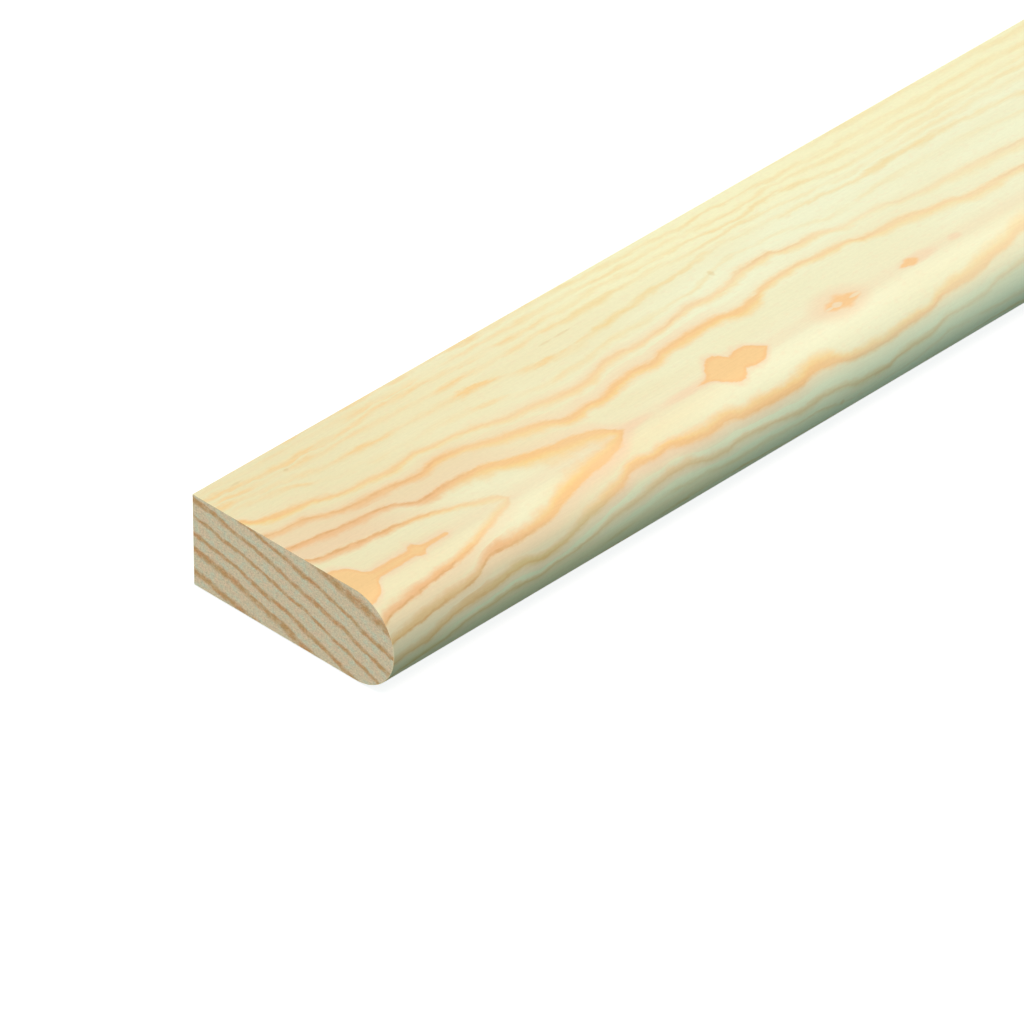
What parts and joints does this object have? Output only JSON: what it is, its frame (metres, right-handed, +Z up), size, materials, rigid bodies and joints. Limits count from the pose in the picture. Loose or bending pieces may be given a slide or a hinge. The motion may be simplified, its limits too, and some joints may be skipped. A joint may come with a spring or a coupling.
{
  "type": "parting bead",
  "caption": "Planed pine parting bead: a long flat strip with one square edge and one half-round edge, used to part sliding sashes and as general trim.",
  "frame": {"origin": "on the underside, under the middle of the bead's length and width", "axes": "+X along the length, -Y out of the half-round edge and +Y out of the square back edge, +Z up out of the upper wide face"},
  "size_m": [2.4, 0.0205, 0.008],
  "materials": {
    "planed_pine": "planed, unfinished"
  },
  "bodies": {
    "root": {"parting_bead": "planed_pine"}
  },
  "joints": []
}
